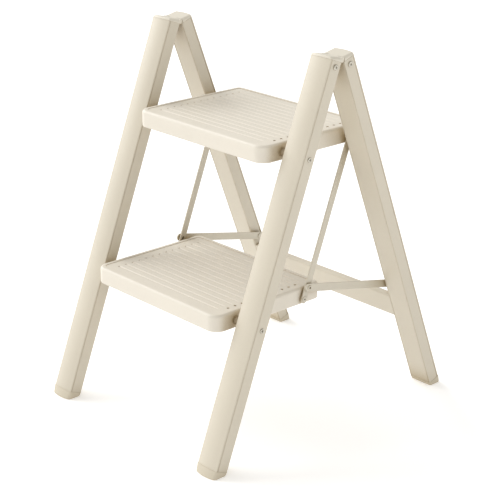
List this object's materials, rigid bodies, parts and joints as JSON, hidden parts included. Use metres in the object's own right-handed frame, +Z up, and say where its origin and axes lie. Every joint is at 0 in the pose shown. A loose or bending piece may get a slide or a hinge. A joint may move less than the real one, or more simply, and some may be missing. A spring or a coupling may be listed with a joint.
{
  "type": "folding step stool",
  "caption": "Folding A-frame step stool: crowned tube legs, grooved moulded treads, flat tie and brace bars that fold everything flat.",
  "frame": {"origin": "on the floor, midway between the four feet, with the stool open", "axes": "+X to the climber's right, +Y from the climbing side to the back, +Z up"},
  "size_m": [0.436, 0.5442, 0.64],
  "materials": {
    "frame_paint": "smooth cream powder coat, semi-gloss",
    "bar_paint": "thin cream powder coat, satin",
    "tread_plastic": "fine satin moulded polypropylene, cream",
    "cap_plastic": "satin moulded plastic, cream",
    "foot_plastic": "soft cream rubber shoe",
    "bush_plastic": "self-lubricating acetal, dull brown",
    "zinc_steel": "zinc-plated steel"
  },
  "bodies": {
    "front_frame": {"front_leg_left": "frame_paint", "front_top_cap_left": "cap_plastic", "front_foot_left": "foot_plastic", "front_leg_right": "frame_paint", "front_top_cap_right": "cap_plastic", "front_foot_right": "foot_plastic", "hinge_pin_left": "zinc_steel", "hinge_pin_right": "zinc_steel", "front_cap_screws": "zinc_steel", "leg_sleeves": "zinc_steel", "lower_tread_bolts": "zinc_steel", "upper_tread_bolts": "zinc_steel", "lower_tread_nuts": "zinc_steel", "upper_tread_nuts": "zinc_steel", "tread_pivot_spacers": "bush_plastic"},
    "rear_frame": {"rear_leg_left": "frame_paint", "rear_top_cap_left": "cap_plastic", "rear_foot_left": "foot_plastic", "rear_leg_right": "frame_paint", "rear_top_cap_right": "cap_plastic", "rear_foot_right": "foot_plastic", "rear_cap_screws": "zinc_steel", "rear_cross_plate": "frame_paint", "cross_plate_rivets": "zinc_steel", "brace_pivot_rivets": "bar_paint", "brace_pivot_spacers": "bush_plastic"},
    "lower_step": {"lower_tread": "tread_plastic", "lower_tread_bushes": "bush_plastic", "lower_tie_pins": "bar_paint", "lower_tie_washers": "bush_plastic"},
    "upper_step": {"upper_tread": "tread_plastic", "upper_tread_bushes": "bush_plastic", "upper_tie_pins": "bar_paint", "upper_tie_washers": "bush_plastic"},
    "tie_left": {"tie_bar_left": "bar_paint"},
    "tie_right": {"tie_bar_right": "bar_paint"},
    "brace_left": {"brace_bar_left": "bar_paint", "brace_rivet_left": "bar_paint"},
    "brace_right": {"brace_bar_right": "bar_paint", "brace_rivet_right": "bar_paint"}
  },
  "joints": [
    {"name": "leg_fold", "type": "hinge", "parent": "front_frame", "child": "rear_frame", "pos_m": [0, 0, 0.63085], "axis": [-1, 0, 0], "range_deg": [0, 42]},
    {"name": "lower_step_fold", "type": "hinge", "parent": "front_frame", "child": "lower_step", "pos_m": [0, -0.16792, 0.2269], "axis": [1, 0, 0], "range_deg": [0, 63.93]},
    {"name": "upper_step_fold", "type": "hinge", "parent": "front_frame", "child": "upper_step", "pos_m": [0, -0.06897, 0.48466], "axis": [1, 0, 0], "range_deg": [0, 63.93]},
    {"name": "tie_turn_left", "type": "hinge", "parent": "lower_step", "child": "tie_left", "pos_m": [-0.1596, -0.02097, 0.22305], "axis": [-1, 0, 0], "range_deg": [0, 63.93]},
    {"name": "brace_turn_left", "type": "hinge", "parent": "rear_frame", "child": "brace_left", "pos_m": [-0.164, 0.17856, 0.19917], "axis": [-1, 0, 0], "range_deg": [0, 54.15]},
    {"name": "tie_turn_right", "type": "hinge", "parent": "lower_step", "child": "tie_right", "pos_m": [0.1596, -0.02097, 0.22305], "axis": [-1, 0, 0], "range_deg": [0, 63.93]},
    {"name": "brace_turn_right", "type": "hinge", "parent": "rear_frame", "child": "brace_right", "pos_m": [0.164, 0.17856, 0.19917], "axis": [-1, 0, 0], "range_deg": [0, 54.15]}
  ],
  "couplings": [
    {"joint": "lower_step_fold", "follows": "leg_fold", "ratio": 1.5221},
    {"joint": "upper_step_fold", "follows": "leg_fold", "ratio": 1.5221},
    {"joint": "tie_turn_left", "follows": "leg_fold", "ratio": 1.5221},
    {"joint": "brace_turn_left", "follows": "leg_fold", "ratio": 1.2893},
    {"joint": "tie_turn_right", "follows": "leg_fold", "ratio": 1.5221},
    {"joint": "brace_turn_right", "follows": "leg_fold", "ratio": 1.2893}
  ]
}
